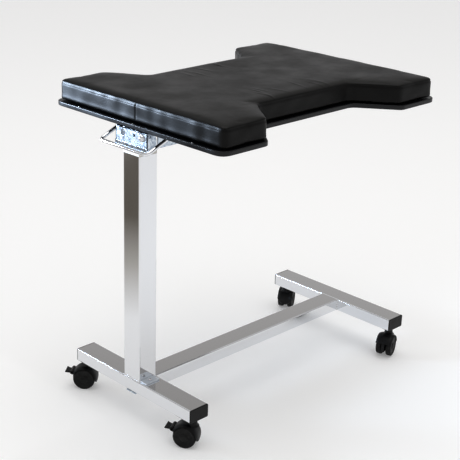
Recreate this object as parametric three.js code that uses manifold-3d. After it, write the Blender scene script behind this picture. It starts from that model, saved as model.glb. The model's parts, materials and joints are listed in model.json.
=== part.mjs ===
// Arm and hand procedure table on a wheeled overbed base.
// Millimetres, +Z up, floor at z = 0. +X runs from the column's foot along the
// bar to the far foot, so the table top reaches out over +X. +Y is left for a
// person who stands at the column and looks along +X.
// The origin is under the middle of the object's bounding box.
import * as THREE from 'three';
import { mergeVertices } from 'three/addons/utils/BufferGeometryUtils.js';
import Module from 'manifold-3d';

const wasm = await Module();
wasm.setup();

// ---------------------------------------------------------------- dimensions
const GAP = 0.3; // clearance between solids that touch

// Base: two feet and a bar of the same rectangular tube
const ORIGIN_X = 351.42; // from the column foot's outer face to the origin
const TUBE_W = 50.8;
const TUBE_H = 30;
const TUBE_WALL = 1.6;
const TUBE_R = 3;
const FOOT_LENGTH = 372; // tube only, the end plugs add their flanges
const FOOT_SPACING = 657; // outer face of one foot to the same face of the next
const FOOT_Z = 68; // underside of the feet, on top of the casters
const FOOT_TOP = FOOT_Z + TUBE_H;
const PLUG_FLANGE = 2.3;
const PLUG_DEPTH = 8;

// Casters: twin wheels, hooded
const WHEEL_R = 25;
const WHEEL_W = 14;
const WHEEL_INNER = 5; // from the caster's middle plane to a wheel
const HOOD_R = 29.5;
const HOOD_WALL = 2.5;
const CASTER_TRAIL = 14; // stem axis to axle
const STEM_Y = 170; // stem axis from the foot's middle
const STEM_R = 5.5;
const AXLE_R = 3;
const SOCKET_R = 8;
const PEDAL = { x: 42, z: 38, hub: 5, half: 13, pin: 2.2 }; // pivot from the stem axis and the floor

// Column: outer tube on the foot, inner tube that rises with the top
const COLUMN_X = 48;
const COLUMN_Y = 50.8;
const COLUMN_MIDDLE = 26.4; // column axis from the foot's outer face
const COLUMN_TOP = 599.5;
const BUSH_WALL = 1.4;
const BUSH_LIP = 5;
const INNER_X = COLUMN_X - 2 * (TUBE_WALL + BUSH_WALL + 2 * GAP);
const INNER_Y = COLUMN_Y - 2 * (TUBE_WALL + BUSH_WALL + 2 * GAP);
const INNER_BOTTOM = 142;
const GAS_BODY_R = 11;
const GAS_ROD_R = 5;
const GAS_BODY_TOP = 535;
const GAS_HEAD_Z = 618.5; // top of the rod, where the release pin stands out

// Table top
const BOARD_Z = 652;
const BOARD_T = 10;
const BOARD_X0 = 4; // near edge of the board from the foot's outer face
const BOARD_LENGTH = 660;
const BOARD_HALF = 256;
const WAIST_HALF = 171;
const END_LENGTH = 122; // full-width stretch at each end
const TAPER_LENGTH = 67; // from full width to the waist
const LEDGE = 4; // board showing all round the pad
const PAD_Z = BOARD_Z + BOARD_T + 1.6;
const PAD_TOP = 708;
const TAPE = { x: 240, halfWidth: 25, halfLength: 180, thick: 1 }; // hook tape under the pad

// Bracket, rails and release bail under the board
const SHEET = 2.5;
const BRACKET_HALF = 48;
const BRACKET_FACE = 5.1; // back of the front plate, from the foot's outer face
const BRACKET_DEPTH = 40;
const FLANGE_END = 96;
const HEM = 11;
const EAR_REACH = 28;
const PLATE_HOLE = { large: 7, small: 3, largeY: 26, smallY: -9, boltY: -33, below: 11 };
const RAIL = { start: 31, end: 430, depth: 34, flange: 17 };
const SCREW = { front: 90, rear: 400, y: 56, radius: 2, depth: 7 };
const UNDER = BOARD_Z - GAP; // top face of the steel under the board
const BAIL_R = 4;
const BAIL_HALF = 72;
const BAIL_FRONT = { x: -18.5, z: 619 };
const BAIL_PIVOT = { x: 37.5, z: 643 };
const BAIL_BEND = 9;

// ---------------------------------------------------------------- materials
const finish = (color, roughness, metalness) =>
  new THREE.MeshStandardMaterial({ color, roughness, metalness });
const CHROME = finish(0xd9dcdf, 0.08, 1);
const ZINC = finish(0xa9b4c0, 0.38, 1);
const STEEL = finish(0x8f9398, 0.3, 1);
const BLACK_PLASTIC = finish(0x101113, 0.45, 0);
const TYRE = finish(0x141414, 0.7, 0);
const LAMINATE = finish(0x121418, 0.35, 0);
const VINYL = finish(0x2b2b2d, 0.42, 0);
const HOOK_TAPE = finish(0x1a1a1a, 0.95, 0);
const ACETAL = finish(0xe6e4dc, 0.4, 0);

const table = new THREE.Group();

function place(name, geometry, material, parent = table) {
  const mesh = new THREE.Mesh(geometry, material);
  mesh.name = name;
  parent.add(mesh);
  return mesh;
}

// ---------------------------------------------------------------- shape tools
function closed(geometry) {
  const bare = geometry.clone();
  bare.deleteAttribute('normal');
  bare.deleteAttribute('uv');
  return mergeVertices(bare, 1e-4);
}

function solid(geometry) {
  const merged = closed(geometry);
  const vertProperties = new Float32Array(merged.attributes.position.array);
  const triVerts = new Uint32Array(merged.index.array);
  return new wasm.Manifold(new wasm.Mesh({ numProp: 3, vertProperties, triVerts }));
}

function toGeometry(manifold) {
  const mesh = manifold.getMesh();
  const geometry = new THREE.BufferGeometry();
  geometry.setAttribute('position', new THREE.BufferAttribute(mesh.vertProperties, 3));
  geometry.setIndex(new THREE.BufferAttribute(mesh.triVerts, 1));
  geometry.computeVertexNormals();
  return geometry;
}

const cut = (geometry, ...tools) =>
  toGeometry(tools.reduce((left, tool) => left.subtract(solid(tool)), solid(geometry)));

const join = (geometry, ...others) =>
  toGeometry(others.reduce((left, other) => left.add(solid(other)), solid(geometry)));

// The same shape on the other side of the XZ plane, with its faces turned back out
function mirrorY(geometry) {
  const mirrored = closed(geometry).scale(1, -1, 1);
  mirrored.index.array.reverse();
  return mirrored;
}

// A box from its low corner to its high corner
function block(low, high) {
  const size = high.map((value, axis) => value - low[axis]);
  const middle = high.map((value, axis) => (value + low[axis]) / 2);
  return new THREE.BoxGeometry(...size).translate(...middle);
}

// A rod between two heights on a vertical axis
function upright(radius, low, high, x = 0, y = 0, sides = 24) {
  const rod = new THREE.CylinderGeometry(radius, radius, high - low, sides);
  return rod.rotateX(Math.PI / 2).translate(x, y, (low + high) / 2);
}

// A rod between two Y values
function crosswise(radius, low, high, x, z, sides = 24) {
  const rod = new THREE.CylinderGeometry(radius, radius, high - low, sides);
  return rod.translate(x, (low + high) / 2, z);
}

function roundedRectangle(width, height, radius, Path = THREE.Shape) {
  const [w, h, path] = [width / 2, height / 2, new Path()];
  path.moveTo(w - radius, -h);
  path.absarc(w - radius, -h + radius, radius, -Math.PI / 2, 0);
  path.absarc(w - radius, h - radius, radius, 0, Math.PI / 2);
  path.absarc(-w + radius, h - radius, radius, Math.PI / 2, Math.PI);
  path.absarc(-w + radius, -h + radius, radius, Math.PI, 1.5 * Math.PI);
  path.closePath();
  return path;
}

// Extrusion along Z; segments is the number of steps in each round corner
const extrude = (shape, depth, segments = 4) =>
  new THREE.ExtrudeGeometry(shape, { depth, bevelEnabled: false, curveSegments: segments });

// Rectangular tube along Z, open at both ends
function boxTube(width, height, wall, radius, length) {
  const shape = roundedRectangle(width, height, radius);
  const bore = roundedRectangle(
    width - 2 * wall,
    height - 2 * wall,
    Math.max(radius - wall, 0.8),
    THREE.Path,
  );
  shape.holes.push(bore);
  return extrude(shape, length, 2);
}

// Outline through corner points, each corner rounded to its own radius
function roundedOutline(corners) {
  const shape = new THREE.Shape();
  corners.forEach(([x, y, radius], index) => {
    const corner = new THREE.Vector2(x, y);
    const before = new THREE.Vector2(...corners.at(index - 1));
    const after = new THREE.Vector2(...corners[(index + 1) % corners.length]);
    const back = before.sub(corner).normalize();
    const ahead = after.sub(corner).normalize();
    const setback = radius / Math.tan(back.angleTo(ahead) / 2);
    const start = corner.clone().addScaledVector(back, setback);
    const end = corner.clone().addScaledVector(ahead, setback);
    if (index === 0) shape.moveTo(start.x, start.y);
    else shape.lineTo(start.x, start.y);
    shape.quadraticCurveTo(corner.x, corner.y, end.x, end.y);
  });
  shape.closePath();
  return shape;
}

// Hourglass plan of the board and the pad, inset all round by `inset`
function hourglass(inset, cornerRadius) {
  const half = BOARD_LENGTH / 2 - inset;
  const wide = BOARD_HALF - inset;
  const narrow = WAIST_HALF - inset;
  const shoulder = BOARD_LENGTH / 2 - END_LENGTH;
  const neck = shoulder - TAPER_LENGTH;
  const quarter = [
    [neck, -narrow, 26],
    [shoulder, -wide, 16],
    [half, -wide, cornerRadius],
  ];
  const mirrored = (list, sx, sy) => list.map(([x, y, r]) => [sx * x, sy * y, r]);
  return roundedOutline([
    ...quarter,
    ...mirrored(quarter, 1, -1).reverse(),
    ...mirrored(quarter, -1, -1),
    ...mirrored(quarter, -1, 1).reverse(),
  ]);
}

// ---------------------------------------------------------------- base frame
const base = new THREE.Group();
base.position.x = -ORIGIN_X;
table.add(base);

const FOOT_ENDS = [
  { end: 'left', side: 1 },
  { end: 'right', side: -1 },
];
const FEET = [
  { foot: 'column_foot', x: TUBE_W / 2, boltHole: true },
  { foot: 'far_foot', x: FOOT_SPACING + TUBE_W / 2, boltHole: false },
];

// Foot tube lying along Y with a hole for each caster socket in its floor
function footTube(boltHole) {
  const tube = boxTube(TUBE_W, TUBE_H, TUBE_WALL, TUBE_R, FOOT_LENGTH);
  tube.translate(0, 0, -FOOT_LENGTH / 2).rotateX(Math.PI / 2);
  tube.translate(0, 0, FOOT_Z + TUBE_H / 2);
  const floorHole = (y) => upright(SOCKET_R + GAP, FOOT_Z - 5, FOOT_Z + 5, 0, y, 16);
  const holes = FOOT_ENDS.map(({ side }) => floorHole(side * STEM_Y));
  const bolt = upright(4.4, FOOT_Z - 5, FOOT_TOP + 5, COLUMN_MIDDLE - TUBE_W / 2, 0, 16);
  return cut(tube, ...holes, ...(boltHole ? [bolt] : []));
}

// End plug: a flange over the tube's end and a shallow insert inside it
function endPlug(side) {
  const flange = extrude(roundedRectangle(TUBE_W, TUBE_H, TUBE_R), PLUG_FLANGE, 2);
  const inside = 2 * (TUBE_WALL + GAP);
  const insertShape = roundedRectangle(TUBE_W - inside, TUBE_H - inside, 1.2);
  const insert = extrude(insertShape, PLUG_DEPTH + 1, 1).translate(0, 0, -PLUG_DEPTH);
  const plug = join(flange, insert).rotateX(-Math.PI / 2);
  if (side < 0) plug.rotateZ(Math.PI);
  return plug.translate(0, side * (FOOT_LENGTH / 2 + GAP), FOOT_Z + TUBE_H / 2);
}

// Socket pressed into the foot's floor; its flange stays below the foot
function casterSocket() {
  const low = FOOT_Z - 2.3;
  const flangeTop = FOOT_Z - GAP;
  const profile = [
    [STEM_R + GAP, low],
    [SOCKET_R + 3, low],
    [SOCKET_R + 3, flangeTop],
    [SOCKET_R, flangeTop],
    [SOCKET_R, FOOT_Z + 24],
    [STEM_R + GAP, FOOT_Z + 24],
    [STEM_R + GAP, low],
  ];
  return revolve(profile, 16);
}

// Lathe about Z; profile points are [radius, height]
function revolve(profile, sides) {
  const points = profile.map(([radius, height]) => new THREE.Vector2(radius, height));
  return new THREE.LatheGeometry(points, sides).rotateX(Math.PI / 2);
}

for (const { foot, x, boltHole } of FEET) {
  place(foot, footTube(boltHole), CHROME, base).position.x = x;
  for (const { end, side } of FOOT_ENDS) {
    place(`${foot}_${end}_plug`, endPlug(side), BLACK_PLASTIC, base).position.x = x;
    const socket = place(`${foot}_${end}_socket`, casterSocket(), BLACK_PLASTIC, base);
    socket.position.set(x, side * STEM_Y, 0);
  }
}

const barLength = FOOT_SPACING - TUBE_W - 2 * GAP;
const bar = boxTube(TUBE_H, TUBE_W, TUBE_WALL, TUBE_R, barLength).rotateY(Math.PI / 2);
bar.translate(TUBE_W + GAP, 0, FOOT_Z + TUBE_H / 2);
place('spine_bar', bar, CHROME, base);

// ---------------------------------------------------------------- column
const column = new THREE.Group();
column.position.x = COLUMN_MIDDLE;
base.add(column);

const columnBottom = FOOT_TOP + GAP;
const outer = boxTube(COLUMN_X, COLUMN_Y, TUBE_WALL, TUBE_R, COLUMN_TOP - columnBottom);
place('column_tube', outer.translate(0, 0, columnBottom), CHROME, column);

// Guide bushes: the upper one rests on the outer tube, the lower one rides
// on the bottom end of the inner tube
function guideBush(lipDepth) {
  const sleeveX = COLUMN_X - 2 * (TUBE_WALL + GAP);
  const sleeveY = COLUMN_Y - 2 * (TUBE_WALL + GAP);
  return boxTube(sleeveX, sleeveY, BUSH_WALL, 2, lipDepth);
}
const upperSleeve = guideBush(40).translate(0, 0, COLUMN_TOP - 36);
const lip = boxTube(COLUMN_X, COLUMN_Y, TUBE_WALL + GAP + BUSH_WALL, TUBE_R, BUSH_LIP);
const upperBush = join(upperSleeve, lip.translate(0, 0, COLUMN_TOP + GAP));
place('upper_guide_bush', upperBush, ACETAL, column);
place('lower_guide_bush', guideBush(30).translate(0, 0, INNER_BOTTOM), ACETAL, column);

const innerTop = UNDER - SHEET - GAP;
const shaftX = BAIL_PIVOT.x - COLUMN_MIDDLE;
const innerTube = boxTube(INNER_X, INNER_Y, TUBE_WALL, 2, innerTop - INNER_BOTTOM);
const shaftHole = crosswise(BAIL_R + 0.8, -40, 40, shaftX, BAIL_PIVOT.z, 16);
const drilledTube = cut(innerTube.translate(0, 0, INNER_BOTTOM), shaftHole);
place('inner_tube', drilledTube, CHROME, column);

// Locking gas spring: body bolted to the foot, rod up to the bracket
const gasBottom = FOOT_TOP + 4;
const gasBody = revolve(
  [
    [0, gasBottom],
    [GAS_BODY_R, gasBottom],
    [GAS_BODY_R, GAS_BODY_TOP],
    [GAS_ROD_R + GAP, GAS_BODY_TOP],
    [GAS_ROD_R + GAP, gasBottom + 20],
    [0, gasBottom + 20],
  ],
  20,
);
place('gas_spring_body', gasBody, STEEL, column);

const gasRod = revolve(
  [
    [0, gasBottom + 22],
    [GAS_ROD_R, gasBottom + 22],
    [GAS_ROD_R, GAS_HEAD_Z - 12],
    [8, GAS_HEAD_Z - 12],
    [8, GAS_HEAD_Z],
    [3, GAS_HEAD_Z],
    [3, GAS_HEAD_Z - 8],
    [0, GAS_HEAD_Z - 8],
  ],
  20,
);
place('gas_spring_rod', gasRod, CHROME, column);

const pinTop = GAS_HEAD_Z + 7;
place('release_pin', upright(2.5, GAS_HEAD_Z - 5.5, pinTop, 0, 0, 16), STEEL, column);

// Bolt that holds the gas spring, with its head under the foot plate
const plateBottom = FOOT_Z - 3.5;
const boltShank = upright(4, plateBottom - GAP, FOOT_TOP + 3.7, 0, 0, 16);
const boltHead = new THREE.CylinderGeometry(7.5, 7.5, 5, 6).rotateX(Math.PI / 2);
boltHead.translate(0, 0, plateBottom - 2.5 - GAP);
place('gas_spring_bolt', join(boltShank, boltHead), STEEL, column);

// Plate under the column foot that spreads the bolt's load
const underPlate = block([-26, -14, plateBottom], [24, 14, FOOT_Z - GAP]);
const boltHole = upright(4.4, plateBottom - 5, FOOT_Z + 5, 0, 0, 16);
place('bolt_plate', cut(underPlate, boltHole), ZINC, column);

// Tab beside the column, screwed to the foot
const tabInner = COLUMN_Y / 2 + GAP;
const tab = block([-22, -tabInner - 21, columnBottom], [16, -tabInner, columnBottom + 3]);
const screwAt = { x: -3, y: -tabInner - 11 };
const tabHole = upright(2.4, columnBottom - 4, columnBottom + 6, screwAt.x, screwAt.y, 12);
place('column_tab', cut(tab, tabHole), CHROME, column);
const tabTop = columnBottom + 3;
const screwDome = revolve(
  [
    [0, tabTop + GAP],
    [4.2, tabTop + GAP],
    [3.6, tabTop + 2],
    [2, tabTop + 3],
    [0, tabTop + 3.2],
  ],
  16,
);
const screwShank = upright(2, columnBottom + 0.1, tabTop + 1, 0, 0, 12);
const tabScrew = join(screwDome, screwShank).translate(screwAt.x, screwAt.y, 0);
place('column_tab_screw', tabScrew, STEEL, column);

// ---------------------------------------------------------------- table top
const top = new THREE.Group();
top.position.x = BOARD_X0 + BOARD_LENGTH / 2;
base.add(top);

// Hole for a rail screw: through the flange and into the underside of the board
const screwHole = (x, y) =>
  upright(SCREW.radius + GAP, UNDER - 8, BOARD_Z + SCREW.depth + GAP, x, y, 14);

const boardBlank = extrude(hourglass(0, 26), BOARD_T, 5).translate(0, 0, BOARD_Z);
const pilotHoles = FOOT_ENDS.flatMap(({ side }) =>
  [SCREW.front, SCREW.rear].map((x) => screwHole(x - top.position.x, side * SCREW.y)),
);
place('board', cut(boardBlank, ...pilotHoles), LAMINATE, top);
const pad = extrude(hourglass(LEDGE, 22), PAD_TOP - PAD_Z, 5).translate(0, 0, PAD_Z);
place('pad', pad, VINYL, top);

const tapeZ = BOARD_Z + BOARD_T + GAP;
for (const [end, x] of [['near', -TAPE.x], ['far', TAPE.x]]) {
  const low = [x - TAPE.halfWidth, -TAPE.halfLength, tapeZ];
  const high = [x + TAPE.halfWidth, TAPE.halfLength, tapeZ + TAPE.thick];
  place(`hook_tape_${end}`, block(low, high), HOOK_TAPE, top);
}

// ---------------------------------------------------------------- bracket
const HOLE_Z = UNDER - PLATE_HOLE.below;

// Pressed bracket: front plate with two holes, a hem along its bottom edge,
// a half-round ear at each end and a flange under the board
function bracketGeometry() {
  const bottom = UNDER - BRACKET_DEPTH;
  const face = BRACKET_FACE - SHEET;
  const plate = block([face, -BRACKET_HALF, bottom], [BRACKET_FACE, BRACKET_HALF, UNDER]);
  const hem = block([face - 2, -BRACKET_HALF, bottom], [face + 1, BRACKET_HALF, bottom + HEM]);
  const inner = BRACKET_HALF - SHEET;
  const flange = block([face, -inner, UNDER - SHEET], [FLANGE_END, inner, UNDER]);
  const ears = FOOT_ENDS.map(({ side }) => ear(side, bottom));
  const holes = [
    [PLATE_HOLE.large, PLATE_HOLE.largeY],
    [PLATE_HOLE.small, PLATE_HOLE.smallY],
    [PLATE_HOLE.small + GAP, PLATE_HOLE.boltY],
  ].map(([radius, y]) => {
    const drill = new THREE.CylinderGeometry(radius, radius, 20, 16).rotateZ(Math.PI / 2);
    return drill.translate(BRACKET_FACE, y, HOLE_Z);
  });
  const earHole = crosswise(2.6, -60, 60, BRACKET_FACE + 4.5, UNDER - 7, 14);
  return cut(join(plate, hem, flange, ...ears), ...holes, earHole);
}

// Half-round ear in the XZ plane
function ear(side, bottom) {
  const radius = BRACKET_DEPTH / 2;
  const shape = new THREE.Shape();
  shape.moveTo(BRACKET_FACE - 1, bottom);
  shape.lineTo(EAR_REACH - radius, bottom);
  shape.absarc(EAR_REACH - radius, bottom + radius, radius, -Math.PI / 2, Math.PI / 2);
  shape.lineTo(BRACKET_FACE - 1, UNDER);
  shape.closePath();
  const plate = extrude(shape, SHEET, 10).rotateX(Math.PI / 2);
  return plate.translate(0, side > 0 ? BRACKET_HALF : SHEET - BRACKET_HALF, 0);
}
place('top_bracket', bracketGeometry(), ZINC, base);

// Domed bolt through the front plate, with its nut behind
const domedBolt = revolve(
  [
    [0, -SHEET - 6],
    [5.5, -SHEET - 6],
    [5.5, -SHEET - GAP],
    [3, -SHEET - GAP],
    [3, GAP],
    [7.5, GAP],
    [7.2, 3],
    [4.5, 6],
    [0, 7],
  ],
  16,
);
domedBolt.rotateY(-Math.PI / 2).translate(BRACKET_FACE - SHEET, PLATE_HOLE.boltY, HOLE_Z);
place('bracket_bolt', domedBolt, CHROME, base);

// Angle rails from the bracket along the board, bored for the bail's shaft
function rail(side) {
  const inner = BRACKET_HALF - SHEET;
  const web = block([RAIL.start, inner + GAP, UNDER - RAIL.depth], [RAIL.end, BRACKET_HALF, UNDER]);
  const flangeEnd = inner + RAIL.flange;
  const flange = block([RAIL.start, inner + 1, UNDER - SHEET], [RAIL.end, flangeEnd, UNDER]);
  const bore = crosswise(BAIL_R + GAP, 30, 60, BAIL_PIVOT.x, BAIL_PIVOT.z, 24);
  const screwHoles = [SCREW.front, SCREW.rear].map((x) => screwHole(x, SCREW.y));
  const angle = cut(join(web, flange), bore, ...screwHoles);
  return side > 0 ? angle : mirrorY(angle);
}

// Pan-head screw up through a rail's flange into the board
function panScrew() {
  const seat = UNDER - SHEET - GAP;
  const profile = [
    [0, seat - 3],
    [2.5, seat - 2.8],
    [4.2, seat - 1.7],
    [4.5, seat],
    [SCREW.radius, seat],
    [SCREW.radius, BOARD_Z + SCREW.depth],
    [0, BOARD_Z + SCREW.depth],
  ];
  return revolve(profile, 12);
}

for (const { end, side } of FOOT_ENDS) {
  place(`${end}_rail`, rail(side), ZINC, base);
  const screwY = side * SCREW.y;
  place(`${end}_rail_front_screw`, panScrew(), STEEL, base).position.set(SCREW.front, screwY, 0);
  place(`${end}_rail_rear_screw`, panScrew(), STEEL, base).position.set(SCREW.rear, screwY, 0);
}

// ---------------------------------------------------------------- release bail
// One wire: front bar, two sloping legs and a shaft across the rails
function bailGeometry() {
  const corners = [
    [BAIL_FRONT.x, 0, BAIL_FRONT.z, 0],
    [BAIL_FRONT.x, -BAIL_HALF, BAIL_FRONT.z, BAIL_BEND],
    [BAIL_PIVOT.x, -BAIL_HALF, BAIL_PIVOT.z, BAIL_BEND],
    [BAIL_PIVOT.x, 0, BAIL_PIVOT.z, 0],
  ];
  const half = wire(corners);
  return join(half, mirrorY(half));
}

// Round wire through corner points [x, y, z, bend]; it runs slightly past
// both ends so that mirrored halves join
function wire(corners) {
  const points = corners.map(([x, y, z]) => new THREE.Vector3(x, y, z));
  const toward = (from, to, distance) =>
    from.clone().addScaledVector(to.clone().sub(from).normalize(), distance);
  const curve = new THREE.CurvePath();
  let from = toward(points[0], points[1], -0.5);
  for (let i = 1; i < points.length - 1; i += 1) {
    const bend = corners[i][3];
    const start = toward(points[i], points[i - 1], bend);
    const end = toward(points[i], points[i + 1], bend);
    curve.add(new THREE.LineCurve3(from, start));
    curve.add(new THREE.QuadraticBezierCurve3(start, points[i], end));
    from = end;
  }
  curve.add(new THREE.LineCurve3(from, toward(points.at(-1), points.at(-2), -0.5)));
  const section = new THREE.Shape().absarc(0, 0, BAIL_R, 0, 2 * Math.PI);
  return new THREE.ExtrudeGeometry(section, {
    steps: 28,
    curveSegments: 4,
    extrudePath: curve,
    bevelEnabled: false,
  });
}
place('release_bail', bailGeometry(), CHROME, base);

// Cam on the bail's shaft; lifting the bail presses the rocker under its toe
const ROCKER_TOP = pinTop + GAP + 3;
function camGeometry() {
  const hub = crosswise(BAIL_R + GAP + 1.5, -4, 4, BAIL_PIVOT.x, BAIL_PIVOT.z, 20);
  const toe = block(
    [BAIL_PIVOT.x - 2, -4, ROCKER_TOP + GAP],
    [BAIL_PIVOT.x + 7, 4, BAIL_PIVOT.z],
  );
  const bore = crosswise(BAIL_R + GAP, -10, 10, BAIL_PIVOT.x, BAIL_PIVOT.z, 20);
  return cut(join(hub, toe), bore);
}
place('release_cam', camGeometry(), ZINC, base);

// Rocker between cam and pin, on its own cross pin in the inner tube
const ROCKER_PIVOT = { x: COLUMN_MIDDLE - 12, z: ROCKER_TOP - 1 };
const rockerBar = block(
  [ROCKER_PIVOT.x, -5, pinTop + GAP],
  [COLUMN_MIDDLE + 17, 5, ROCKER_TOP],
);
const rockerHub = crosswise(4.2, -5, 5, ROCKER_PIVOT.x, ROCKER_PIVOT.z, 18);
const rockerBore = crosswise(2 + GAP, -9, 9, ROCKER_PIVOT.x, ROCKER_PIVOT.z, 18);
place('release_rocker', cut(join(rockerBar, rockerHub), rockerBore), ZINC, base);
const pivotHalf = INNER_Y / 2 - TUBE_WALL - GAP;
const rockerPin = crosswise(2, -pivotHalf, pivotHalf, ROCKER_PIVOT.x, ROCKER_PIVOT.z, 18);
place('rocker_pivot_pin', rockerPin, STEEL, base);

// ---------------------------------------------------------------- casters
// A caster is drawn trailing towards +X from its stem axis, then turned
function wheelGeometry() {
  const bore = AXLE_R + GAP;
  const profile = [
    [bore, 0],
    [WHEEL_R - 2.5, 0],
    [WHEEL_R, 2.5],
    [WHEEL_R, WHEEL_W - 2.5],
    [WHEEL_R - 2.5, WHEEL_W],
    [WHEEL_R - 6, WHEEL_W - 1.5],
    [bore, WHEEL_W - 0.5],
    [bore, 0],
  ];
  return revolve(profile, 24).rotateX(-Math.PI / 2);
}

// Hood: centre web with the stem boss, and a roof over both wheels
function hoodGeometry(brake) {
  const webHalf = WHEEL_INNER - 0.8;
  const roofHalf = WHEEL_INNER + WHEEL_W;
  const axleZ = WHEEL_R;
  const roof = crosswise(HOOD_R, -roofHalf, roofHalf, CASTER_TRAIL, axleZ, 28);
  const hollow = crosswise(HOOD_R - HOOD_WALL, -60, 60, CASTER_TRAIL, axleZ, 28);
  const below = block([-60, -60, -60], [80, 60, axleZ + 3]);
  const behind = block([CASTER_TRAIL + 22, -60, 0], [80, 60, axleZ + 10]);
  const shell = solid(roof).subtract(solid(hollow)).subtract(solid(below)).subtract(solid(behind));
  const web = crosswise(HOOD_R - 1, -webHalf, webHalf, CASTER_TRAIL, axleZ, 28);
  const webFloor = block([-60, -60, -60], [80, 60, axleZ - 9]);
  const boss = upright(9.5, 34, 60, 0, 0, 16);
  const wheelSpace = FOOT_ENDS.map(({ side }) => {
    const near = side > 0 ? WHEEL_INNER - 0.8 : -60;
    const far = side > 0 ? 60 : 0.8 - WHEEL_INNER;
    return crosswise(WHEEL_R + 1, near, far, CASTER_TRAIL, axleZ, 28);
  });
  const stemBore = upright(STEM_R + GAP, 44, 80, 0, 0, 16);
  const axleBore = crosswise(AXLE_R + GAP, -60, 60, CASTER_TRAIL, axleZ, 16);
  let hood = solid(web).subtract(solid(webFloor)).add(solid(boss)).add(shell);
  for (const tool of [...wheelSpace, stemBore, axleBore]) hood = hood.subtract(solid(tool));
  return brake ? addPedalPivot(hood) : toGeometry(hood);
}

// Room for the pedal's hub, then a lug on the web with a pin through it
function addPedalPivot(hood) {
  const room = PEDAL.hub + 0.6;
  const hubSpace = crosswise(room, -PEDAL.half - 0.6, PEDAL.half + 0.6, PEDAL.x, PEDAL.z, 20);
  const lug = block([PEDAL.x - 8, -3.6, PEDAL.z - 4], [PEDAL.x + 3, 3.6, PEDAL.z + 4]);
  const pin = crosswise(PEDAL.pin, 0.6 - PEDAL.half, PEDAL.half - 0.6, PEDAL.x, PEDAL.z, 16);
  return toGeometry(hood.subtract(solid(hubSpace)).add(solid(lug)).add(solid(pin)));
}

function stemGeometry() {
  return revolve(
    [
      [0, 45],
      [STEM_R, 45],
      [STEM_R, 60 + GAP],
      [7.5, 60 + GAP],
      [7.5, FOOT_Z - 2.6],
      [STEM_R, FOOT_Z - 2.6],
      [STEM_R, FOOT_Z + 23],
      [0, FOOT_Z + 23],
    ],
    16,
  );
}

// Brake pedal: a tongue behind the hood, with a forked hub on the lug's pin
function pedalGeometry() {
  const shape = new THREE.Shape();
  shape.moveTo(0, -4);
  shape.lineTo(5, -4.5);
  shape.quadraticCurveTo(14, -3, 21, 1.5);
  shape.lineTo(21, 4);
  shape.quadraticCurveTo(12, 4.2, 4, 4);
  shape.lineTo(0, 4);
  shape.closePath();
  const tongue = extrude(shape, 2 * PEDAL.half, 5).rotateX(Math.PI / 2).translate(0, PEDAL.half, 0);
  const hub = crosswise(PEDAL.hub, -PEDAL.half, PEDAL.half, 0, 0, 20);
  const fork = block([-9, -4.1, -9], [7, 4.1, 9]);
  const bore = crosswise(PEDAL.pin + GAP, -20, 20, 0, 0, 16);
  return cut(join(tongue, hub), fork, bore);
}

const CASTERS = [
  { foot: 0, end: 'left', side: 1, heading: 130, brake: true },
  { foot: 0, end: 'right', side: -1, heading: 120, brake: true },
  { foot: 1, end: 'left', side: 1, heading: 30, brake: false },
  { foot: 1, end: 'right', side: -1, heading: 200, brake: false },
];

for (const { foot, end, side, heading, brake } of CASTERS) {
  const name = `${foot === 0 ? 'column' : 'far'}_${end}_caster`;
  const caster = new THREE.Group();
  caster.position.set(FEET[foot].x, side * STEM_Y, 0);
  caster.rotation.z = THREE.MathUtils.degToRad(heading);
  base.add(caster);
  place(`${name}_stem`, stemGeometry(), STEEL, caster);
  place(`${name}_hood`, hoodGeometry(brake), BLACK_PLASTIC, caster);
  const axleHalf = WHEEL_INNER + WHEEL_W - 1;
  const axle = crosswise(AXLE_R, -axleHalf, axleHalf, CASTER_TRAIL, WHEEL_R, 16);
  place(`${name}_axle`, axle, STEEL, caster);
  const leftWheel = place(`${name}_wheel_a`, wheelGeometry(), TYRE, caster);
  leftWheel.position.set(CASTER_TRAIL, WHEEL_INNER, WHEEL_R);
  const rightWheel = place(`${name}_wheel_b`, wheelGeometry(), TYRE, caster);
  rightWheel.position.set(CASTER_TRAIL, -WHEEL_INNER, WHEEL_R);
  rightWheel.rotation.z = Math.PI;
  if (brake) {
    const pedal = place(`${name}_pedal`, pedalGeometry(), BLACK_PLASTIC, caster);
    pedal.position.set(PEDAL.x, 0, PEDAL.z);
  }
}

export default table;
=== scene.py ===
# %% [markdown]
# # A padded procedure table on a wheeled overbed base
#
# The table has a chromed steel base that runs under a bed, one column that telescopes, and a black board
# with a vinyl-covered pad on top. The imported model gives every size, place and joint. This lesson gives
# each piece the surface that the real one has: rolled tube corners, moulded plastic, sewn vinyl.
#
# First the imported model is loaded. The finished pieces have to stay inside it.

import json
import math

import bmesh
import bpy
import numpy as np
from mathutils import Matrix, Vector

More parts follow.
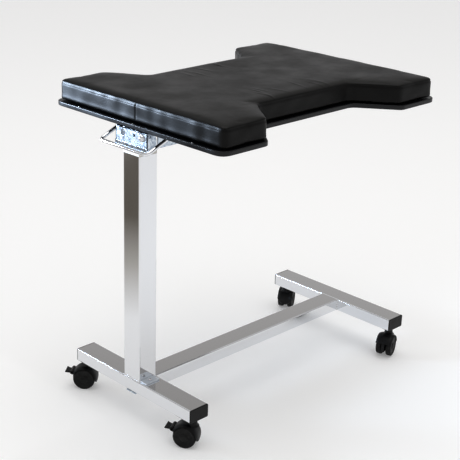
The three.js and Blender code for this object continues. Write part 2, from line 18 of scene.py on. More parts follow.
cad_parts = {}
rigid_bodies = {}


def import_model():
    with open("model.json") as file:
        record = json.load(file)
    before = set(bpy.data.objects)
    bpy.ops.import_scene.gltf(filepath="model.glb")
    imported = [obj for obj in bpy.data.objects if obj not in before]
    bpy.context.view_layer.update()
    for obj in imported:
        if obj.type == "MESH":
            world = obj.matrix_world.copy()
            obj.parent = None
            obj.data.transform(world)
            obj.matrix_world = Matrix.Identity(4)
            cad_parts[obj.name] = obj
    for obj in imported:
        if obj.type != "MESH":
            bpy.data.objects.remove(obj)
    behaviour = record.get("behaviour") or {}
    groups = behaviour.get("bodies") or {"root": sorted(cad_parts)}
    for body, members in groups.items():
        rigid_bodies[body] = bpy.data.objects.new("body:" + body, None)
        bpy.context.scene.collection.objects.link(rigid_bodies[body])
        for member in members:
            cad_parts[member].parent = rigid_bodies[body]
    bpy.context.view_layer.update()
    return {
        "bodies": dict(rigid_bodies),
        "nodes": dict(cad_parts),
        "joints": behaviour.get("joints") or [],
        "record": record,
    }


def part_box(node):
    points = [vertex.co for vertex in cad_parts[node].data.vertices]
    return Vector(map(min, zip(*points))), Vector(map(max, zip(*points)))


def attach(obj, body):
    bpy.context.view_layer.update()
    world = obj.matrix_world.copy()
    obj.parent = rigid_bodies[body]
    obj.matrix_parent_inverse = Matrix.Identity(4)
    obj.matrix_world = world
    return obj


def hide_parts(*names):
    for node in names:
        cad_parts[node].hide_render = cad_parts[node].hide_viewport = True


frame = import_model()
MM = 0.001

# %% [markdown]
# ## The camera
#
# Furniture looks right from well back through a long lens, which keeps the feet and the top in proportion.
# The camera stands out from the column's corner, a little above the table, and looks down over it. A
# small shift slides the frame sideways without turning the camera.

# %% Camera
CAMERA_AT = Vector((-1.736, -1.644, 1.258))
LOOKS_AT = Vector((-0.184, -0.000, 0.398))
CAMERA_ROLL = 0.0181
CAMERA_LENS = 88.0
CAMERA_SENSOR = 36
CAMERA_SHIFT = 0.087


def make_camera():
    """Point the lens from CAMERA_AT to LOOKS_AT, then turn the camera about that line by CAMERA_ROLL."""
    data = bpy.data.cameras.new("camera")
    data.lens = CAMERA_LENS
    data.sensor_width = CAMERA_SENSOR
    data.shift_x = CAMERA_SHIFT
    camera = bpy.data.objects.new("camera", data)
    bpy.context.scene.collection.objects.link(camera)
    aim = (LOOKS_AT - CAMERA_AT).to_track_quat("-Z", "Y")
    turn = Matrix.Rotation(CAMERA_ROLL, 4, "Z")
    camera.matrix_world = Matrix.Translation(CAMERA_AT) @ aim.to_matrix().to_4x4() @ turn
    bpy.context.scene.camera = camera
    return camera


camera = make_camera()
print("camera is", round((LOOKS_AT - CAMERA_AT).length, 2), "m from what it looks at")

# %% [markdown]
# ## Floor and light
#
# Chrome shows only what stands round it, so the room matters more than the lamps. A pale floor fills the
# lower half of every reflection. The sky is bright at the horizon, falls to a warm grey at mid height and
# is bright again overhead. A small cool panel stands beyond the column, and it draws the soft blue sheen
# on the pad's near side.
#
# A dark card lies just above the floor beyond the column too, as a painted reflection: chrome needs
# something dark to show its shape, and only reflections see the card, so the floor itself stays plain.

# %% Floor
FLOOR_HALF = 14.0
PAPER_GLOW = 0.2
PAPER_ROUGHNESS = 0.6
PAPER_WHITE = (0.86, 0.86, 0.86)
# Painted reflection: a dark card, darkest at its middle and fading to the floor's white, that only
# reflections see.
REFLECTION_CARD_MIDDLE = (-1.48, 1.13, 0.001)
REFLECTION_CARD_REACH = 1.15
REFLECTION_CARD_EDGE = 0.95
REFLECTION_CARD_STOPS = [
    (0.30, (0.10, 0.085, 0.065)),
    (0.64, (0.42, 0.40, 0.37)),
    (REFLECTION_CARD_EDGE, PAPER_WHITE),
]


def flat_square(name, middle, half):
    """One level square of side 2 * half round middle."""
    corners = np.array([(-1, -1), (1, -1), (1, 1), (-1, 1)]) * half
    x0, y0, z0 = middle
    mesh = bpy.data.meshes.new(name)
    mesh.from_pydata([(x0 + x, y0 + y, z0) for x, y in corners], [], [(0, 1, 2, 3)])
    square = bpy.data.objects.new(name, mesh)
    bpy.context.scene.collection.objects.link(square)
    return square


def fill_ramp(ramp, stops):
    """Give a colour ramp these (position, colour) stops."""
    elements = ramp.color_ramp.elements
    while len(elements) < len(stops):
        elements.new(0.5)
    for element, (position, colour) in zip(elements, stops):
        element.position = position
        element.color = (*colour, 1)


def make_paper(name):
    """Matt white paper that glows a little, so that its far parts stay white too."""
    material = bpy.data.materials.new(name)
    material.use_nodes = True
    shader = material.node_tree.nodes["Principled BSDF"]
    shader.inputs["Base Color"].default_value = (*PAPER_WHITE, 1)
    shader.inputs["Emission Color"].default_value = (*PAPER_WHITE, 1)
    shader.inputs["Emission Strength"].default_value = PAPER_GLOW
    shader.inputs["Roughness"].default_value = PAPER_ROUGHNESS
    return material


def make_reflection_card_paper():
    """The same paper, dark at the card's middle and fading to the floor's white over a reach given in
    metres; it paints a dark reflection into the chrome.
    """
    material = make_paper("painted reflection card")
    tree = material.node_tree
    place = tree.nodes.new("ShaderNodeTexCoord")
    distance = tree.nodes.new("ShaderNodeVectorMath")
    distance.operation = "DISTANCE"
    distance.inputs[1].default_value = REFLECTION_CARD_MIDDLE
    share = tree.nodes.new("ShaderNodeMapRange")
    share.inputs["From Max"].default_value = REFLECTION_CARD_REACH
    ramp = tree.nodes.new("ShaderNodeValToRGB")
    fill_ramp(ramp, REFLECTION_CARD_STOPS)
    shader = tree.nodes["Principled BSDF"]
    tree.links.new(place.outputs["Object"], distance.inputs[0])
    tree.links.new(distance.outputs["Value"], share.inputs["Value"])
    tree.links.new(share.outputs[0], ramp.inputs[0])
    tree.links.new(ramp.outputs["Color"], shader.inputs["Base Color"])
    tree.links.new(ramp.outputs["Color"], shader.inputs["Emission Color"])
    return material


floor = flat_square("floor", (0.0, 0.0, 0.0), FLOOR_HALF)
floor.data.materials.append(make_paper("studio floor"))
sheet = flat_square("painted reflection card", REFLECTION_CARD_MIDDLE, REFLECTION_CARD_REACH * REFLECTION_CARD_EDGE)
sheet.data.materials.append(make_reflection_card_paper())
# Only glossy rays see the card: it is a painted reflection, not a thing that stands in the room.
sheet.visible_camera = False
sheet.visible_diffuse = False
sheet.visible_transmission = False
sheet.visible_shadow = False
print("floor", 2 * FLOOR_HALF, "m square, sheet", round(2 * REFLECTION_CARD_REACH * REFLECTION_CARD_EDGE, 2), "m square")

# %% Studio sky
SKY_STOPS = [
    (0.00, (0.85, 0.85, 0.85)),
    (0.50, (0.80, 0.81, 0.83)),
    (0.58, (0.62, 0.62, 0.64)),
    (0.65, (0.46, 0.45, 0.44)),
    (0.75, (0.30, 0.29, 0.28)),
    (0.84, (0.50, 0.50, 0.50)),
    (1.00, (0.85, 0.85, 0.85)),
]


def make_sky():
    """Colour by height of the direction looked in: 0 straight down, 0.5 at the horizon, 1 overhead."""
    world = bpy.data.worlds.new("studio sky")
    world.use_nodes = True
    tree = world.node_tree
    background = tree.nodes["Background"]
    direction = tree.nodes.new("ShaderNodeTexCoord")
    parts = tree.nodes.new("ShaderNodeSeparateXYZ")
    height = tree.nodes.new("ShaderNodeMapRange")
    height.inputs["From Min"].default_value = -1.0
    ramp = tree.nodes.new("ShaderNodeValToRGB")
    fill_ramp(ramp, SKY_STOPS)
    tree.links.new(direction.outputs["Generated"], parts.inputs[0])
    tree.links.new(parts.outputs["Z"], height.inputs["Value"])
    tree.links.new(height.outputs[0], ramp.inputs[0])
    tree.links.new(ramp.outputs[0], background.inputs["Color"])
    bpy.context.scene.world = world


make_sky()
print("sky with", len(SKY_STOPS), "stops")

# %% Studio panels
PANELS = {
    "cool side panel": {
        "place": (-1.15, 1.32, 0.72),
        "aim": (-0.35, 0.34, 0.68),
        "size": (0.56, 0.36),
        "watts": 3.6,
        "colour": (0.66, 0.80, 1.0),
        "spread": 44,
    },
    "overhead panel": {
        "place": (0.2, 0.2, 4.2),
        "aim": (0.0, 0.0, 0.0),
        "size": (3.4, 3.4),
        "watts": 36,
        "colour": (1.0, 0.99, 0.97),
        "spread": 180,
    },
}


def add_panel(name, place, aim, size, watts, colour, spread):
    """A rectangular area light at place, facing aim; spread in degrees is how widely it throws."""
    data = bpy.data.lights.new(name, "AREA")
    data.shape = "RECTANGLE"
    data.size, data.size_y = size
    data.energy = watts
    data.color = colour
    data.spread = math.radians(spread)
    light = bpy.data.objects.new(name, data)
    bpy.context.scene.collection.objects.link(light)
    turn = (Vector(aim) - Vector(place)).to_track_quat("-Z", "Y").to_matrix().to_4x4()
    light.matrix_world = Matrix.Translation(Vector(place)) @ turn
    light.visible_camera = False


for name, values in PANELS.items():
    add_panel(name, **values)
scene = bpy.context.scene
scene.view_settings.view_transform = "Standard"
scene.view_settings.look = "Medium High Contrast"

# %% [markdown]
# ## Effects that several finishes share
#
# Real finishes are never even. Chrome has faint wiping marks, zinc plate has a cloudy bloom, moulded
# plastic and vinyl have a fine grain. Each of these is one node group with named inputs, and each
# material sets its own values on it. All of them read object coordinates, which are the table's own, so
# a pattern keeps its real size on every piece.

# %% Node groups
def new_group(name, inputs, outputs):
    """An empty shader group. inputs is name to (socket type, default); outputs is name to socket type."""
    group = bpy.data.node_groups.new(name, "ShaderNodeTree")
    for label, (kind, default) in inputs.items():
        socket = group.interface.new_socket(label, in_out="INPUT", socket_type=kind)
        socket.default_value = default
    for label, kind in outputs.items():
        group.interface.new_socket(label, in_out="OUTPUT", socket_type=kind)
    return group, group.nodes.new("NodeGroupInput"), group.nodes.new("NodeGroupOutput")


FLOAT, COLOUR, VECTOR = "NodeSocketFloat", "NodeSocketColor", "NodeSocketVector"


def build_uneven():
    """A value between Low and High that drifts with noise; the middle of the noise fills the whole range."""
    inputs = {"Scale": (FLOAT, 20.0), "Low": (FLOAT, 0.2), "High": (FLOAT, 0.4)}
    group, given, result = new_group("uneven value", inputs, {"Value": FLOAT})
    place = group.nodes.new("ShaderNodeTexCoord")
    noise = group.nodes.new("ShaderNodeTexNoise")
    noise.inputs["Detail"].default_value = 6
    noise.inputs["Roughness"].default_value = 0.62
    spread = group.nodes.new("ShaderNodeMapRange")
    spread.inputs["From Min"].default_value = 0.32
    spread.inputs["From Max"].default_value = 0.68
    links = group.links
    links.new(place.outputs["Object"], noise.inputs["Vector"])
    links.new(given.outputs["Scale"], noise.inputs["Scale"])
    links.new(noise.outputs["Fac"], spread.inputs["Value"])
    links.new(given.outputs["Low"], spread.inputs["To Min"])
    links.new(given.outputs["High"], spread.inputs["To Max"])
    links.new(spread.outputs[0], result.inputs["Value"])
    return group


def build_clouded():
    """A colour that wanders between two tones in soft-edged clouds."""
    inputs = {
        "Scale": (FLOAT, 60.0),
        "Dark": (COLOUR, (0.4, 0.45, 0.5, 1)),
        "Light": (COLOUR, (0.7, 0.75, 0.8, 1)),
    }
    group, given, result = new_group("clouded colour", inputs, {"Color": COLOUR})
    place = group.nodes.new("ShaderNodeTexCoord")
    cloud = group.nodes.new("ShaderNodeTexNoise")
    cloud.inputs["Detail"].default_value = 4
    cloud.inputs["Distortion"].default_value = 1.2
    sharpen = group.nodes.new("ShaderNodeMapRange")
    sharpen.inputs["From Min"].default_value = 0.38
    sharpen.inputs["From Max"].default_value = 0.62
    tone = group.nodes.new("ShaderNodeMix")
    tone.data_type = "RGBA"
    links = group.links
    links.new(place.outputs["Object"], cloud.inputs["Vector"])
    links.new(given.outputs["Scale"], cloud.inputs["Scale"])
    links.new(cloud.outputs["Fac"], sharpen.inputs["Value"])
    links.new(sharpen.outputs[0], tone.inputs["Factor"])
    links.new(given.outputs["Dark"], tone.inputs["A"])
    links.new(given.outputs["Light"], tone.inputs["B"])
    links.new(tone.outputs["Result"], result.inputs["Color"])
    return group


def build_grain():
    """A normal with small rounded pebbles, as on moulded plastic and pressed vinyl."""
    inputs = {"Scale": (FLOAT, 900.0), "Depth": (FLOAT, 0.0001), "Strength": (FLOAT, 0.3)}
    group, given, result = new_group("pebble grain", inputs, {"Normal": VECTOR})
    place = group.nodes.new("ShaderNodeTexCoord")
    pebbles = group.nodes.new("ShaderNodeTexVoronoi")
    pebbles.feature = "SMOOTH_F1"
    bump = group.nodes.new("ShaderNodeBump")
    links = group.links
    links.new(place.outputs["Object"], pebbles.inputs["Vector"])
    links.new(given.outputs["Scale"], pebbles.inputs["Scale"])
    links.new(pebbles.outputs["Distance"], bump.inputs["Height"])
    links.new(given.outputs["Depth"], bump.inputs["Distance"])
    links.new(given.outputs["Strength"], bump.inputs["Strength"])
    links.new(bump.outputs[0], result.inputs["Normal"])
    return group


UNEVEN, CLOUDED, GRAIN = build_uneven(), build_clouded(), build_grain()
print("node groups", [group.name for group in (UNEVEN, CLOUDED, GRAIN)])

# %% [markdown]
# ## Finishes
#
# A finish is one Principled shader with the groups plugged in. A value that is the same all over is set
# on the shader itself. Where a group is plugged in, the plain value is about the middle of what the group
# gives, and it is what a viewer without node groups shows.

# %% Finish helpers
def new_finish(name, colour, roughness, metallic=0.0, **settings):
    """A material whose Principled shader has these plain values."""
    material = bpy.data.materials.new(name)
    material.use_nodes = True
    shader = material.node_tree.nodes["Principled BSDF"]
    shader.inputs["Base Color"].default_value = (*colour, 1)
    shader.inputs["Roughness"].default_value = roughness
    shader.inputs["Metallic"].default_value = metallic
    for socket, value in settings.items():
        shader.inputs[socket.replace("_", " ")].default_value = value
    return material


def plug(material, group, output, socket, **values):
    """Place a group in a material, set its inputs and plug one of its outputs into the shader."""
    tree = material.node_tree
    node = tree.nodes.new("ShaderNodeGroup")
    node.node_tree = group
    for label, value in values.items():
        node.inputs[label].default_value = value
    tree.links.new(node.outputs[output], tree.nodes["Principled BSDF"].inputs[socket])


chrome = new_finish("chrome plate", (0.78, 0.79, 0.81), 0.07, 1.0)
plug(chrome, UNEVEN, "Value", "Roughness", Scale=9.0, Low=0.045, High=0.11)

ZINC_DARK, ZINC_LIGHT = (0.34, 0.40, 0.48, 1), (0.70, 0.76, 0.82, 1)
zinc = new_finish("zinc plate", (0.52, 0.58, 0.65), 0.3, 1.0)
plug(zinc, CLOUDED, "Color", "Base Color", Scale=90.0, Dark=ZINC_DARK, Light=ZINC_LIGHT)
plug(zinc, UNEVEN, "Value", "Roughness", Scale=150.0, Low=0.2, High=0.42)

steel = new_finish("bright steel", (0.62, 0.63, 0.65), 0.3, 1.0)
plug(steel, UNEVEN, "Value", "Roughness", Scale=120.0, Low=0.22, High=0.38)

weld = new_finish("plated weld", (0.8, 0.81, 0.83), 0.23, 1.0)
plug(weld, UNEVEN, "Value", "Roughness", Scale=300.0, Low=0.12, High=0.34)

satin = new_finish("satin plate", (0.84, 0.90, 0.97), 0.35, 1.0)
plug(satin, UNEVEN, "Value", "Roughness", Scale=60.0, Low=0.28, High=0.42)

moulded = new_finish("moulded black plastic", (0.004, 0.004, 0.0045), 0.43, Specular_IOR_Level=0.3)
plug(moulded, GRAIN, "Normal", "Normal", Scale=1400.0, Depth=0.00005, Strength=0.25)
plug(moulded, UNEVEN, "Value", "Roughness", Scale=40.0, Low=0.34, High=0.52)

TREAD_DARK, TREAD_LIGHT = (0.003, 0.003, 0.003, 1), (0.008, 0.008, 0.0075, 1)
tread = new_finish("hard black tread", (0.005, 0.005, 0.005), 0.57, Specular_IOR_Level=0.3)
plug(tread, CLOUDED, "Color", "Base Color", Scale=70.0, Dark=TREAD_DARK, Light=TREAD_LIGHT)
plug(tread, UNEVEN, "Value", "Roughness", Scale=60.0, Low=0.45, High=0.7)

laminate = new_finish("black laminate", (0.004, 0.0045, 0.006), 0.28, Specular_IOR_Level=0.4)
plug(laminate, UNEVEN, "Value", "Roughness", Scale=14.0, Low=0.2, High=0.36)

vinyl = new_finish("black vinyl", (0.003, 0.0029, 0.0027), 0.4, Specular_IOR_Level=0.2)
plug(vinyl, GRAIN, "Normal", "Normal", Scale=650.0, Depth=0.00018, Strength=0.3)
plug(vinyl, UNEVEN, "Value", "Roughness", Scale=11.0, Low=0.33, High=0.47)

acetal = new_finish("natural acetal", (0.72, 0.70, 0.65), 0.42)
plug(acetal, UNEVEN, "Value", "Roughness", Scale=50.0, Low=0.34, High=0.5)

loop_pile = new_finish("hook tape", (0.012, 0.012, 0.012), 0.95)
plug(loop_pile, GRAIN, "Normal", "Normal", Scale=900.0, Depth=0.0005, Strength=0.8)

FINISHES = {
    "chrome_tube": chrome,
    "zinc_plate": zinc,
    "steel_hardware": steel,
    "black_plastic": moulded,
    "caster_plastic": moulded,
    "wheel_nylon": tread,
    "guide_bush": acetal,
    "board_laminate": laminate,
    "pad_vinyl": vinyl,
    "hook_tape": loop_pile,
}
print("finishes", len(FINISHES))

# %% [markdown]
# The record gives every piece a slot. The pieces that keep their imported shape, such as the rails, bushes,
# sockets and the parts of the lift inside the column, are dressed here. A new piece is dressed as it is
# made.

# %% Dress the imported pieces
def dress(piece, slot):
    """Give a piece the finish of a slot."""
    piece.data.materials.clear()
    piece.data.materials.append(FINISHES[slot])


for part in frame["record"]["subparts"]:
    dress(frame["nodes"][part["node"]], part["material_slot"])

# %% [markdown]
# ## Tools for making surfaces
#
# Every new piece is a grid of points worked out with numpy. One direction of the grid runs round a
# section and the other runs along a path, and either may close on itself. The same few helpers then make
# tubes, plugs, wheels, wire and the board, so each piece below is only its own outline and sizes.

# %% Grid to mesh
SAME_PLACE = 1e-6
NO_LENGTH = 1e-7
BEVEL_STEPS = 3


def grid_faces(rows, columns, wrap_rows, wrap_columns):
    """Quads between neighbouring rows and columns; a wrapped direction joins its last line to its first."""
    i = np.arange(rows if wrap_rows else rows - 1)[:, None]
    j = np.arange(columns if wrap_columns else columns - 1)[None, :]
    i2, j2 = (i + 1) % rows, (j + 1) % columns
    corners = (i * columns + j, i * columns + j2, i2 * columns + j2, i2 * columns + j)
    return np.stack(np.broadcast_arrays(*corners)).reshape(4, -1).T


def make_piece(name, parts, body, slot, bevel=0.0, sharp=40):
    """Join grids into one mesh. A part is (points, wrap_rows, wrap_columns, caps); points is rows by
    columns by 3, in metres, and caps closes the first and the last row with one flat face each."""
    points, faces, offset = [], [], 0
    for grid, wrap_rows, wrap_columns, caps in parts:
        rows, columns = grid.shape[:2]
        points.append(grid.reshape(-1, 3))
        faces += (grid_faces(rows, columns, wrap_rows, wrap_columns) + offset).tolist()
        if caps:
            faces.append((np.arange(columns)[::-1] + offset).tolist())
            faces.append((np.arange(columns) + (rows - 1) * columns + offset).tolist())
        offset += rows * columns
    mesh = bpy.data.meshes.new(name)
    mesh.from_pydata(np.concatenate(points).tolist(), [], faces)
    return finish_piece(name, mesh, body, slot, bevel, sharp)


def finish_piece(name, mesh, body, slot, bevel=0.0, sharp=40):
    """Merge doubles, turn the faces outwards, shade smooth up to a sharp angle, ride a body, and dress."""
    shape = bmesh.new()
    shape.from_mesh(mesh)
    bmesh.ops.remove_doubles(shape, verts=shape.verts, dist=SAME_PLACE)
    bmesh.ops.dissolve_degenerate(shape, edges=shape.edges, dist=NO_LENGTH)
    bmesh.ops.recalc_face_normals(shape, faces=shape.faces)
    shape.to_mesh(mesh)
    shape.free()
    mesh.shade_smooth()
    mesh.set_sharp_from_angle(angle=math.radians(sharp))
    piece = bpy.data.objects.new(name, mesh)
    bpy.context.scene.collection.objects.link(piece)
    if bevel:
        edge = piece.modifiers.new("soft edges", "BEVEL")
        edge.width = bevel
        edge.segments = BEVEL_STEPS
        edge.limit_method = "ANGLE"
        edge.angle_limit = math.radians(sharp)
    weights = piece.modifiers.new("flat faces stay flat", "WEIGHTED_NORMAL")
    weights.keep_sharp = True
    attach(piece, body)
    dress(piece, slot)
    return piece


print("grid helper: a 3 by 4 grid makes", len(grid_faces(3, 4, False, False)), "quads")

# %% [markdown]
# A section is an outline of points in a plane. A rectangle with round corners is four arcs. The
# hourglass of the top is twelve corners, each rounded by a curve that leaves one side and meets the next.

# %% Outlines
def arc(centre, radius, start, end, steps):
    """Points on a circle from angle start to angle end, in degrees."""
    angle = np.radians(np.linspace(start, end, steps + 1))
    return np.stack([centre[0] + radius * np.cos(angle), centre[1] + radius * np.sin(angle)], 1)


def rounded_rectangle(width, height, radius, steps=6):
    """Four quarter circles, at the corners of a rectangle that is centred on zero."""
    x, y = width / 2 - radius, height / 2 - radius
    corners = [((x, -y), -90), ((x, y), 0), ((-x, y), 90), ((-x, -y), 180)]
    return np.concatenate([arc(centre, radius, start, start + 90, steps) for centre, start in corners])


def rounded_corners(corners, steps):
    """Each corner (x, y, radius) becomes the curve (1-t)^2 a + 2t(1-t) corner + t^2 b between its two
    tangent points a and b."""
    points = np.array([corner[:2] for corner in corners])
    radii = np.array([corner[2] for corner in corners])
    back = np.roll(points, 1, axis=0) - points
    ahead = np.roll(points, -1, axis=0) - points
    back /= np.linalg.norm(back, axis=1, keepdims=True)
    ahead /= np.linalg.norm(ahead, axis=1, keepdims=True)
    half_angle = np.arccos(np.clip((back * ahead).sum(1), -1, 1)) / 2
    setback = (radii / np.tan(half_angle))[:, None]
    t = np.linspace(0, 1, steps + 1)[None, :, None]
    start, end = (points + back * setback)[:, None], (points + ahead * setback)[:, None]
    curve = (1 - t) ** 2 * start + 2 * t * (1 - t) * points[:, None] + t**2 * end
    return curve.reshape(-1, 2)


def evenly(outline, spacing):
    """The same closed outline with points at an even spacing."""
    closed = np.concatenate([outline, outline[:1]])
    run = np.concatenate([[0], np.cumsum(np.linalg.norm(np.diff(closed, axis=0), axis=1))])
    at = np.linspace(0, run[-1], int(run[-1] / spacing), endpoint=False)
    return np.stack([np.interp(at, run, closed[:, k]) for k in range(2)], 1)


print("a rounded rectangle has", len(rounded_rectangle(2, 1, 0.25)), "points")

# %% Carry an outline along an axis
def carried(outline, heights, insets, axis, centre):
    """Rows of an outline at each height along an axis (0, 1 or 2), drawn in by each inset. The outline
    lies in the two other axes in their order, and centre is where its middle goes."""
    half = np.abs(outline).max(0)
    rows = []
    for height, inset in zip(heights, insets):
        shrunk = outline * (1 - inset / half)
        rows.append(np.insert(shrunk, axis, height, axis=1) + np.insert(np.array(centre), axis, 0.0))
    return np.array(rows)


def lathed(profile, sides, centre, axis=2):
    """A profile of (radius, height) points turned about an axis through centre."""
    profile = np.array(profile, float)
    angle = np.linspace(0, 2 * np.pi, sides, endpoint=False)[None, :]
    radius, height = profile[:, 0:1], profile[:, 1:2] + 0 * angle
    around = np.stack([radius * np.cos(angle), radius * np.sin(angle)], 2)
    return np.insert(around, axis, height, axis=2) + np.array(centre)


def box_of(node):
    """Low and high corner of a node as numpy arrays."""
    low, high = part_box(node)
    return np.array(low), np.array(high)


print("column tube box in mm", [np.round(corner / MM, 1).tolist() for corner in box_of("column_tube")])

# %% [markdown]
# ## Tubes
#
# Steel tube is rolled, so its corners are quarter circles. In chrome those corners are what the eye reads:
# each one squeezes the whole room into a bright and a dark line. A tube is a rounded rectangle carried
# along its axis, outside and then back inside, so that it is hollow and its wall shows at an open end.

# %% Tubes
TUBE_WALL = 1.6 * MM
TUBE_CORNER = 3.0 * MM


def make_tube(node, axis, body):
    """Four rows that close on themselves: outside start, outside end, inside end, inside start."""
    low, high = box_of(node)
    across = [k for k in range(3) if k != axis]
    width, height = (high - low)[across]
    outside = rounded_rectangle(width, height, TUBE_CORNER)
    inside = rounded_rectangle(width - 2 * TUBE_WALL, height - 2 * TUBE_WALL, TUBE_CORNER - TUBE_WALL)
    middle = ((low + high) / 2)[across]
    ends = [(outside, low[axis]), (outside, high[axis]), (inside, high[axis]), (inside, low[axis])]
    rows = [carried(outline, [end], [0.0], axis, middle)[0] for outline, end in ends]
    tube = make_piece(f"{node}_rolled", [(np.array(rows), True, True, False)], body, "chrome_tube")
    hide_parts(node)
    return tube


TUBES = [("column_foot", 1, "base"), ("far_foot", 1, "base"), ("spine_bar", 0, "base")]
TUBES += [("column_tube", 2, "base"), ("inner_tube", 2, "top")]
for node, axis, body in TUBES:
    tube = make_tube(node, axis, body)
    print(tube.name, len(tube.data.polygons), "faces")

# %% [markdown]
# ## Weld beads
#
# The bar is welded into the feet at its sides, and the column all round its base. A bead is a row of
# small frozen ripples: a half-buried cord whose radius rises and falls along its length.

# %% Weld beads
BEAD = 1.7 * MM
RIPPLE = 2.2 * MM
RIPPLE_DEPTH = 0.14
BEAD_POINTS = 60
BEAD_STOP = 1.5 * MM
BEAD_SPACING = 0.45 * MM


def bead_along(path, radius, closed):
    """A round section carried along points. At s along the path its radius is
    radius * (1 + RIPPLE_DEPTH * sin(2 pi s / RIPPLE))."""
    ahead = np.roll(path, -1, axis=0) - path
    if not closed:
        ahead[-1] = ahead[-2]
    back = np.roll(ahead, 1, axis=0)
    if not closed:
        back[0] = ahead[0]
    run = np.concatenate([[0], np.cumsum(np.linalg.norm(np.diff(path, axis=0), axis=1))])
    tangent = ahead / np.linalg.norm(ahead, axis=1, keepdims=True)
    tangent += back / np.linalg.norm(back, axis=1, keepdims=True)
    tangent /= np.linalg.norm(tangent, axis=1, keepdims=True)
    helper = np.where(np.abs(tangent[:, 2:3]) > 0.9, [[1.0, 0, 0]], [[0, 0, 1.0]])
    side = np.cross(tangent, helper)
    side /= np.linalg.norm(side, axis=1, keepdims=True)
    up = np.cross(side, tangent)
    size = (radius * (1 + RIPPLE_DEPTH * np.sin(2 * np.pi * run / RIPPLE)))[:, None, None]
    angle = np.linspace(0, 2 * np.pi, 10, endpoint=False)[None, :, None]
    return path[:, None] + size * (np.cos(angle) * side[:, None] + np.sin(angle) * up[:, None])


def make_welds():
    """Beads at the bar's four upright corners, and one round the foot of the column."""
    low, high = box_of("spine_bar")
    heights = np.linspace(low[2] + BEAD_STOP, high[2] - BEAD_STOP, BEAD_POINTS)
    upright = [(x, y) for x in (low[0], high[0]) for y in (low[1], high[1])]
    parts = []
    for x, y in upright:
        path = np.stack([np.full(BEAD_POINTS, x), np.full(BEAD_POINTS, y), heights], 1)
        parts.append((bead_along(path, BEAD, False), False, True, True))
    low, high = box_of("column_tube")
    middle = (low + high) / 2
    ring = evenly(rounded_rectangle(*(high - low)[:2], TUBE_CORNER), BEAD_SPACING) + middle[:2]
    path = np.insert(ring, 2, low[2], axis=1)
    parts.append((bead_along(path, BEAD, True), True, True, False))
    beads = make_piece("weld_beads", parts, "base", "chrome_tube")
    beads.data.materials[0] = weld
    return beads


weld_beads = make_welds()
print("weld beads", len(weld_beads.data.polygons), "faces")

# %% [markdown]
# ## End plugs
#
# A black plug closes each foot. Its flange has the tube's outline and a soft outer edge, and the rest of
# it hides in the tube.

# %% End plugs
PLUG_SOFT = 1.2 * MM
PLUG_STAND = 0.3 * MM
PLUG_FIT = 2.0 * MM
PLUG_TAPER = 0.4 * MM


def make_plug(node):
    """Flange rows drawn in along a quarter circle at the outer end, then a tapered insert in the tube."""
    low, high = box_of(node)
    outward = 1 if high[1] > 0 else -1
    face, root = (high[1], low[1]) if outward > 0 else (low[1], high[1])
    lip = (box_of("column_foot")[1][1] + PLUG_STAND) * outward
    bend = np.radians(np.linspace(90, 0, 5))
    heights = [face - outward * PLUG_SOFT * (1 - math.sin(a)) for a in bend] + [lip, lip, root]
    insets = [PLUG_SOFT * (1 - math.cos(a)) for a in bend] + [0.0, PLUG_FIT, PLUG_FIT + PLUG_TAPER]
    width, _, height = high - low
    outline = rounded_rectangle(width, height, TUBE_CORNER)
    middle = ((low + high) / 2)[[0, 2]]
    rows = carried(outline, heights, insets, 1, middle)
    plug_piece = make_piece(f"{node}_moulded", [(rows, False, True, True)], "base", "black_plastic")
    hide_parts(node)
    return plug_piece


FOOT_ENDS = [f"{foot}_{end}" for foot in ("column_foot", "far_foot") for end in ("left", "right")]
plugs = [make_plug(f"{end}_plug") for end in FOOT_ENDS]
print("plugs", [p.name for p in plugs])

# %% [markdown]
# ## The board
#
# The board is a hard black panel, cut to an hourglass so that a surgeon or a patient can come close at
# the waist. Its edges are rounded a little, and the round catches a thin line of light.

# %% Hourglass outline
board_low, board_high = box_of("board")
BOARD_MIDDLE = (board_low + board_high) / 2
BOARD_HALF = (board_high - board_low) / 2
WAIST_HALF = 171 * MM
SHOULDER_X = BOARD_HALF[0] - 122 * MM
NECK_X = SHOULDER_X - 67 * MM
NECK_ROUND = 26 * MM
SHOULDER_ROUND = 16 * MM
BOARD_ROUND = 26 * MM
OUTLINE_SPACING = 4 * MM
LEDGE = 4 * MM


def hourglass(inset, corner):
    """One quarter's three corners, mirrored to the other three quarters and rounded."""
    quarter = [
        (NECK_X, -(WAIST_HALF - inset), NECK_ROUND),
        (SHOULDER_X, -(BOARD_HALF[1] - inset), SHOULDER_ROUND),
        (BOARD_HALF[0] - inset, -(BOARD_HALF[1] - inset), corner),
    ]
    corners = list(quarter)
    corners += [(x, -y, r) for x, y, r in reversed(quarter)]
    corners += [(-x, -y, r) for x, y, r in quarter]
    corners += [(-x, y, r) for x, y, r in reversed(quarter)]
    return evenly(rounded_corners(corners, 8), OUTLINE_SPACING)


print("board outline", len(hourglass(0, BOARD_ROUND)), "points")

# %% Board
EDGE_SOFT = 1.8 * MM


def inward(outline):
    """Unit normals that point into a closed outline that runs anticlockwise."""
    along = np.roll(outline, -1, axis=0) - np.roll(outline, 1, axis=0)
    along /= np.linalg.norm(along, axis=1, keepdims=True)
    return np.stack([-along[:, 1], along[:, 0]], 1)


def make_board():
    """Rows of the outline from the underside up, moved inwards along quarter circles at both edges."""
    outline = hourglass(0, BOARD_ROUND)
    normal = inward(outline)
    bend = np.radians(np.linspace(0, 90, 5))
    low = [(EDGE_SOFT * (1 - math.sin(a)), board_low[2] + EDGE_SOFT * (1 - math.cos(a))) for a in bend]
    high = [(inset, board_low[2] + board_high[2] - z) for inset, z in reversed(low)]
    rows = [np.insert(outline + normal * inset + BOARD_MIDDLE[:2], 2, z, axis=1) for inset, z in low + high]
    parts = [(np.array(rows), False, True, True)]
    board = make_piece("board_edged", parts, "top", "board_laminate", sharp=60)
    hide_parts("board")
    return board


board = make_board()
print("board", len(board.data.polygons), "faces")

